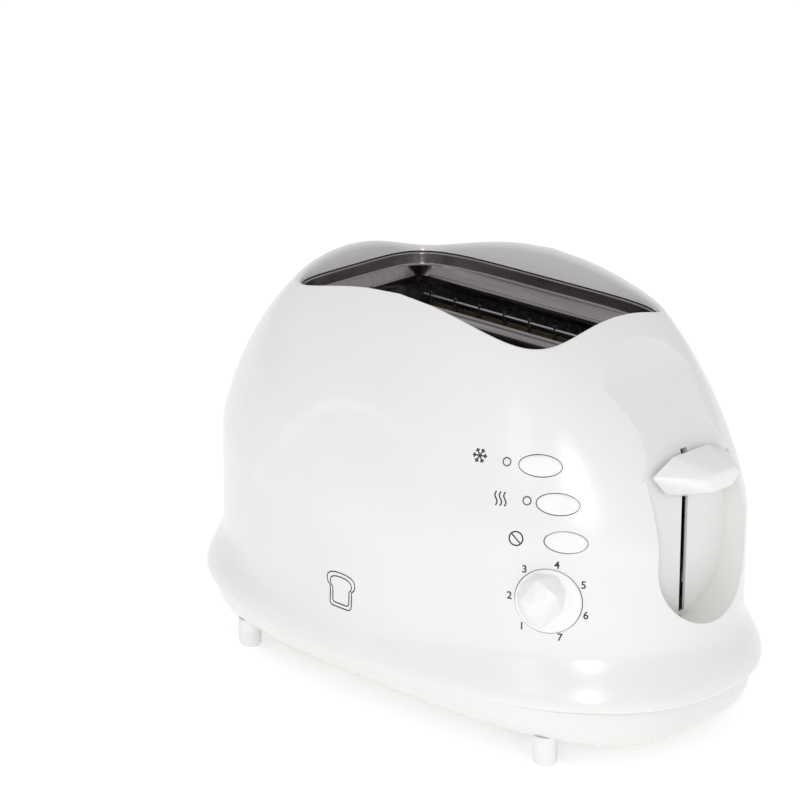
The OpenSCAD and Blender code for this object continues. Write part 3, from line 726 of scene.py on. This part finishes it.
def makeBase():
    rows = []
    for z, a, b, power in throughStations(base["outside"], base["perSpan"]) + base["inside"]:
        rows.append(np.column_stack([oval(a, b, power, around), np.full(len(around), z)]))
    basePan = newPiece("basePan", loftGrid(np.array(rows), closed=False), "body",
                       bodyWhite, ["base_pan"])
    holes = bmesh.new()
    for along, across, size, top in (base["footHoles"], base["screwHoles"]):
        for x in (-along, along):
            for y in (-across, across):
                prism(holes, circleAt(x, y, size), 2, (base["holesFrom"], top))
    low, high = boxOf("crumb_tray")
    gap = base["trayGap"]
    mouth = [(low.x - gap, low.z - gap), (high.x + gap, low.z - gap),
             (high.x + gap, high.z + gap), (low.x - gap, high.z + gap)]
    prism(holes, mouth, 1, base["trayReach"])
    prism(holes, circleAt(*base["bush"]), 1, base["bushReach"])
    cutAway(basePan, [newCutter(holes)])
    basePan.data.shade_smooth()
    basePan.data.set_sharp_from_angle(angle=radians(base["sharp"]))


makeBase()
print("base made")

# the metal top: a dished sheet with a rolled edge round each slot
top = dict(slotLength=131, slotWidth=30.4, slotZ=150, cornerR=3, wellPower=24, sheet=0.8,
           # the bridge between the slots: its width, the bevel of its edges and its heights
           bridge=8.8, bridgeEdge=0.5, bridgeZ=(138, 149.1, 149.4, 149.9),
           # inset from the crest's outline, and height: the underside inwards, the top outwards
           under=[(3, 153.5), (2.6, 153.7), (2.4, 154.1), (2.4, 159.1), (0.9, 159.1)],
           rim=[(0.9, 159.9), (2.2, 159.9), (2.55, 159.82), (2.75, 159.55), (2.82, 159.2),
                (2.95, 155.2), (3.05, 154.8), (3.3, 154.5), (3.7, 154.35)],
           dish=[(0.12, 0.07), (0.35, 0.28), (0.65, 0.6), (0.88, 0.9), (0.95, 1), (1, 1)],
           bead=[(1.9, 150), (1.75, 150.35), (1.35, 150.65), (0.85, 150.75), (0.35, 150.62),
                 (0.02, 150.3), (-0.1, 149.8), (-0.1, 146.6), (0.5, 146.6), (0.55, 149.3),
                 (1.1, 149.6)])


def roundedRow(length, width, radius, z, y, perCorner=8):
    # a rectangle with rounded corners, as one row of points
    points = []
    for corner in range(4):
        sx, sy = (1, 1, -1, -1)[corner], (1, -1, -1, 1)[corner]
        middle = (sx * (length / 2 - radius), sy * (width / 2 - radius))
        for i in range(perCorner + 1):
            angle = pi / 2 - corner * pi / 2 - (pi / 2) * i / perCorner
            points.append((middle[0] + radius * cos(angle), middle[1] + radius * sin(angle) + y, z))
    return points


def makeTop():
    lastInset, lastZ = top["rim"][-1]
    outer = oval(shape["crestX"] - lastInset, shape["crestY"] - lastInset, shape["crestPower"],
                 around)
    inner = oval(top["slotLength"] / 2, top["slotWidth"] + top["bridge"] / 2, top["wellPower"],
                 around)
    dish = [np.column_stack([outer + (inner - outer) * k,
                             np.full(len(around), lastZ + (top["slotZ"] - lastZ) * drop)])
            for k, drop in top["dish"]]
    below = np.array([0, 0, top["sheet"]])
    rows = [crestRow(inset, z=z) for inset, z in top["under"] + top["rim"]]
    rows += dish + [row - below for row in dish[::-1]]
    bm = loftGrid(np.array(rows))
    faceOutwards(bm)
    newPiece("metalTop", bm, "body", topSteel, ["top_plate"])

    well = (top["bridge"] + top["slotWidth"]) / 2
    beads = bmesh.new()
    for y in (-well, well):
        rows = np.array([roundedRow(top["slotLength"] + 2 * out, top["slotWidth"] + 2 * out,
                                    top["cornerR"] + out, z, y) for out, z in top["bead"]])
        ring = loftGrid(rows)
        bmesh.ops.recalc_face_normals(ring, faces=ring.faces)
        beads.from_mesh(meshOf("bead", ring))
    newPiece("slotEdges", beads, "body", topSteel)

    half, sheet, edge = top["bridge"] / 2, top["sheet"], top["bridgeEdge"]
    foot, under, shoulder, crown = top["bridgeZ"]
    outline = [(-half, foot), (-half, shoulder), (edge - half, crown), (half - edge, crown),
               (half, shoulder), (half, foot), (half - sheet, foot), (half - sheet, under),
               (sheet - half, under), (sheet - half, foot)]
    bridge = bmesh.new()
    reach = top["slotLength"] / 2
    prism(bridge, outline, 0, (-reach, reach))
    newPiece("slotBridge", bridge, "body", topSteel)


makeTop()
print("metal top made")

# the lever's handle: a faceted wedge
handle = dict(edge=0.9, corners=[(111.5, 10.4, 124), (111.7, 23, 118.5), (111.5, 13.8, 109.1),
              (111.5, 3.4, 105.9), (128.7, 6.4, 120.3), (129.1, 9.7, 118), (128.5, 6.4, 112.5)])


def bevelledHull(bm, corners, edge, matrix=Matrix(), segments=3, flatWithin=1.5):
    # adds the convex solid round the corners, with its edges bevelled
    first = set(bm.verts)
    verts = [bm.verts.new(matrix @ Vector(corner)) for corner in corners]
    made = bmesh.ops.convex_hull(bm, input=verts)
    unused = [v for v in made["geom_interior"] + made["geom_unused"] if v.is_valid]
    bmesh.ops.delete(bm, geom=list(set(unused)), context="VERTS")
    fresh = [v for v in bm.verts if v not in first]
    flat = list({e for v in fresh for e in v.link_edges})
    bmesh.ops.dissolve_limit(bm, angle_limit=radians(flatWithin), verts=fresh, edges=flat)
    fresh = [v for v in bm.verts if v not in first]
    edges = list({e for v in fresh for e in v.link_edges})
    bmesh.ops.bevel(bm, geom=edges, offset=edge, segments=segments, profile=0.5,
                    affect="EDGES", material=-1)


def makeHandle():
    bm = bmesh.new()
    bevelledHull(bm, [(x, side * y, z) for x, y, z in handle["corners"] for side in (-1, 1)],
                 handle["edge"])
    newPiece("leverHandle", bm, "carriage", controlWhite, ["lever_handle"], 50)


makeHandle()

# the dial: a flush disc with a faceted grip
dial = dict(gripEdge=0.4, gripFootZ=(0.1, 0.5),
            disc=[(0, -2.6), (12.9, -2.6), (13, -2.4), (13, -0.1), (12.94, 0.2), (12.7, 0.45),
                  (12.2, 0.58), (0, 0.6)],
            gripTop=[(-9.7, 2.1, 6.5), (-3.1, 11.1, 6.5), (4.6, 6.2, 9), (-4.1, 2.1, 10),
                     (-7.4, -3.9, 6)],
            gripFoot=[(-12.3, 1.5), (-10.6, 6.6), (-5.6, 11.2), (3.4, 11), (7, 5), (5.5, -4),
                      (-2.5, -11.8), (-8, -9.4), (-11.2, -4.6)])


def makeDial():
    bm = bmesh.new()
    turnedShape(bm, dial["disc"], 96, dialFrame)
    corners = dial["gripTop"] + [(x, y, z) for x, y in dial["gripFoot"] for z in dial["gripFootZ"]]
    bevelledHull(bm, corners, dial["gripEdge"], dialFrame)
    newPiece("dialKnob", bm, "dial", controlWhite, ["dial_knob"], 50)


makeDial()

# the buttons: oval caps on round stems
button = dict(stem=2, stemEnd=-8, capFoot=-4, crown=0.2, points=64,
              # inset from the cap's outline, and height
              cap=[(0, -4), (0, -0.5), (0.08, -0.28), (0.28, -0.12), (0.6, -0.02), (1.2, 0.06),
                   (2.2, 0.13), (3.2, 0.18)])


def makeButton(name):
    length, height = controls["buttonLength"], controls["buttonHeight"]
    stem, stemEnd, count = 2 * button["stem"], button["stemEnd"], button["points"]
    rows = [[(0, 0, stemEnd)] * count, ovalPoints(stem, stem, stemEnd, count),
            ovalPoints(stem, stem, button["capFoot"], count)]
    rows += [ovalPoints(length - 2 * inset, height - 2 * inset, z, count)
             for inset, z in button["cap"]]
    rows.append([(0, 0, button["crown"])] * count)
    bm = loftGrid(np.array(rows, float), closed=False)
    bmesh.ops.recalc_face_normals(bm, faces=bm.faces)
    bmesh.ops.transform(bm, matrix=buttonFrames[name], verts=bm.verts)
    newPiece(buttonCaps[name], bm, name, controlWhite, [name], 40)


for name in buttonCaps:
    makeButton(name)
print("handle, dial and buttons made")

# the lamps beside the two upper buttons
lamp = dict(ring=[(1.35, -1), (1.35, 0.02), (1.42, 0.13), (1.55, 0.18), (1.7, 0.12), (1.75, 0),
                  (1.75, -1), (1.35, -1)],
            lens=[(0, -7.9), (1.3, -7.9), (1.3, 0), (1.15, 0.08), (0.7, 0.16), (0, 0.19)])


def makeLamps():
    rings, lenses = bmesh.new(), bmesh.new()
    for matrix in lampFrames:
        turnedShape(rings, lamp["ring"], 40, matrix)
        turnedShape(lenses, lamp["lens"], 32, matrix)
    newPiece("lampRings", rings, "body", lampGrey)
    newPiece("lampLenses", lenses, "body", lensGrey, ["led_lenses"])


makeLamps()

# the printed marks: numbers round the dial, a picture beside each button and a slice of bread
prints = dict(lift=0.03, thick=0.05, rayFrom=12, digitRadius=15.3, digitSize=4.3,
              digitDepth=0.5, digitBold=0.06,
              digitAngles=[222, 272, 322, 12, 61, 109, 162],
              pictures=[(59, -61, 124.2), (70, -61.2, 109.6), (77.8, -60.8, 95.4)],
              pictureTurn=[19, 23, 27], pictureLean=12, pictureSize=6, stroke=0.55,
              sliceAt=(-2, -76.5, 56), sliceSize=15, sliceStroke=0.5)


def snowflake():
    strokes = []
    for arm in range(6):
        a = pi / 3 * arm
        along = Vector((cos(a), sin(a), 0))
        strokes.append(([(0, 0, 0), tuple(along * 0.5)], False))
        for side in (-1, 1):
            twig = Vector((cos(a + side * 0.9), sin(a + side * 0.9), 0)) * 0.17
            strokes.append(([tuple(along * 0.3), tuple(along * 0.3 + twig)], False))
    return strokes


def heatWaves():
    wave = [(0.09 * sin(t * 2 * pi), -0.45 + 0.9 * t) for t in [i / 20 for i in range(21)]]
    return [([(x + offset, y, 0) for x, y in wave], False) for offset in (-0.3, 0, 0.3)]


def stopSign():
    ring = [(0.45 * cos(2 * pi * i / 36), 0.45 * sin(2 * pi * i / 36), 0) for i in range(36)]
    return [(ring, True), ([(-0.32, 0.32, 0), (0.32, -0.32, 0)], False)]


def breadSlice():
    # a loaf's outline: straight sides, a flat foot and two rounded shoulders
    half = [(0, -0.5), (0.3, -0.5), (0.38, -0.46), (0.4, -0.38), (0.4, 0.02), (0.49, 0.1),
            (0.53, 0.22), (0.49, 0.34), (0.38, 0.42), (0.2, 0.46), (0, 0.47)]
    outline = half + [(-x, y) for x, y in half[-2:0:-1]]
    outer = [(x, y, 0) for x, y in outline]
    inner = [(x * 0.76, y * 0.78 - 0.01, 0) for x, y in outline]
    return [(outer, True), (inner, True)]


def curveMesh(curve):
    holder = placed("drawing", curve)
    bpy.context.view_layer.update()
    mesh = bpy.data.meshes.new_from_object(holder)
    bpy.data.objects.remove(holder)
    return mesh


def strokeMesh(strokes, size, width):
    curve = bpy.data.curves.new("strokes", "CURVE")
    curve.dimensions = "3D"
    curve.bevel_depth, curve.bevel_resolution = width / 2, 1
    curve.use_fill_caps = True
    for points, closed in strokes:
        spline = curve.splines.new("POLY")
        spline.points.add(len(points) - 1)
        for point, (x, y, z) in zip(spline.points, points):
            point.co = (x * size, y * size, z, 1)
        spline.use_cyclic_u = closed
    return curveMesh(curve)


def digitMesh(digit):
    curve = bpy.data.curves.new("digit", "FONT")
    curve.body = digit
    curve.size = prints["digitSize"]
    curve.align_x, curve.align_y = "CENTER", "CENTER"
    curve.extrude, curve.offset = prints["digitDepth"], prints["digitBold"]
    return curveMesh(curve)


def printOn(bm, mesh, matrix):
    # lays a flat drawing on the housing's surface, a hair thick
    fresh = len(bm.verts)
    bm.from_mesh(mesh)
    bm.verts.ensure_lookup_table()
    out = (matrix.to_3x3() @ Vector((0, 0, 1))).normalized()
    deepest = max(abs(v.co.z) for v in bm.verts[fresh:])
    for vert in bm.verts[fresh:]:
        start = matrix @ Vector((vert.co.x, vert.co.y, prints["rayFrom"]))
        place = housingSurface.ray_cast(start * mm, -out)[0]
        if place is None:
            place = housingSurface.find_nearest(start * mm)[0]
        height = prints["lift"] + prints["thick"] * (vert.co.z / deepest * 0.5 + 0.5)
        vert.co = place / mm + out * height


def makePrints():
    bm = bmesh.new()
    for digit, angle in enumerate(prints["digitAngles"], 1):
        away = radians(angle)
        spot = Vector((sin(away), cos(away), 0)) * prints["digitRadius"]
        printOn(bm, digitMesh(str(digit)), dialFrame @ Matrix.Translation(spot))
    pictures = zip([snowflake(), heatWaves(), stopSign()], prints["pictures"],
                   prints["pictureTurn"])
    for strokes, place, turned in pictures:
        printOn(bm, strokeMesh(strokes, prints["pictureSize"], prints["stroke"]),
                facing(place, turned, prints["pictureLean"]))
    printOn(bm, strokeMesh(breadSlice(), prints["sliceSize"], prints["sliceStroke"]),
            facing(prints["sliceAt"], 0, 0))
    newPiece("printedMarks", bm, "body", printInk)


makePrints()
print("marks printed")

# the spring between the carriage and the bridge, which stretches as the lever goes down, is made as
# one coil that keeps its shape
spring = dict(coilRadius=3.4, wire=0.45, turns=9, stepsPerTurn=20)


def makeSpring():
    low, high = boxOf("carriage_spring")
    pitch = (high.z - low.z - 2 * spring["wire"]) / spring["turns"]
    middle = Vector(((low.x + high.x) / 2, (low.y + high.y) / 2, low.z + spring["wire"]))
    bm = bmesh.new()
    bmesh.ops.create_circle(bm, segments=8, radius=spring["wire"], cap_ends=True)
    bmesh.ops.rotate(bm, verts=bm.verts, cent=(0, 0, 0), matrix=Matrix.Rotation(pi / 2, 3, "X"))
    bmesh.ops.translate(bm, verts=bm.verts, vec=middle + Vector((spring["coilRadius"], 0, 0)))
    steps = spring["turns"] * spring["stepsPerTurn"]
    bmesh.ops.spin(bm, geom=bm.verts[:] + bm.edges[:] + bm.faces[:], cent=middle,
                   axis=(0, 0, 1), angle=2 * pi * spring["turns"], steps=steps,
                   dvec=(0, 0, pitch / spring["stepsPerTurn"]))
    bmesh.ops.recalc_face_normals(bm, faces=bm.faces)
    coil = newPiece("returnSpring", bm, None, bareWire, ["carriage_spring"])
    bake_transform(coil)


makeSpring()

# the feet are turned plugs with a softened edge
feet = dict(profile=[(0, 0), (3.1, 0), (3.9, 0.25), (4.45, 0.9), (4.7, 1.8), (4.75, 3),
                     (4.75, 12.5), (3, 12.5), (3, 18.6), (0, 18.6)])


def makeFeet():
    bm = bmesh.new()
    along, across = base["footHoles"][:2]
    for x in (-along, along):
        for y in (-across, across):
            turnedShape(bm, feet["profile"], 48, Matrix.Translation((x, y, 0)))
    newPiece("feetPlugs", bm, "body", trimWhite, ["feet"], 50)


makeFeet()
print("spring and feet made")

# the room: pale floor, soft lights and the camera
camera = dict(place=(835.7, -897.7, 534.8), aim=(-25.3, -18.4, 116), lens=143.54, sensor=36,
              clip=(0.05, 50))
lights = [  # name, place and aim in millimetres, size in metres, power in watts
    ("frontSoftbox", (240, -1000, 480), (40, -40, 100), (0.2, 0.35), 0.3),
    ("cornerSoftbox", (790, -940, 430), (60, -20, 90), (0.16, 0.42), 3.2),
    ("overheadSoftbox", (-200, 100, 1300), (0, 0, 60), (1.2, 1), 0.9),
]
room = dict(floorSize=6, air="#FAFBFC", airStrength=0.78)


def makeStage():
    bm = bmesh.new()
    bmesh.ops.create_grid(bm, x_segments=1, y_segments=1, size=room["floorSize"])
    mesh = meshOf("paleFloor", bm)
    mesh.materials.append(paleFloor())
    placed("paleFloor", mesh)


def aimed(name, data, place, aim):
    # puts a camera or a light at a place in millimetres, looking at another
    holder = placed(name, data)
    holder.location = Vector(place) * mm
    holder.rotation_euler = (Vector(aim) - Vector(place)).to_track_quat("-Z", "Y").to_euler()
    return holder


def makeRoom():
    scene = bpy.context.scene
    data = bpy.data.cameras.new("camera")
    data.lens, data.sensor_width = camera["lens"], camera["sensor"]
    data.clip_start, data.clip_end = camera["clip"]
    scene.camera = aimed("camera", data, camera["place"], camera["aim"])
    for name, place, aim, size, power in lights:
        light = bpy.data.lights.new(name, "AREA")
        light.shape, light.size, light.size_y, light.energy = "RECTANGLE", *size, power
        aimed(name, light, place, aim)
    world = bpy.data.worlds.new("paleRoom")
    world.use_nodes = True
    back = world.node_tree.nodes["Background"]
    back.inputs["Color"].default_value = linear(room["air"])
    back.inputs["Strength"].default_value = room["airStrength"]
    scene.world = world
    scene.view_settings.view_transform = "Standard"


makeStage()
makeRoom()
print("room ready")
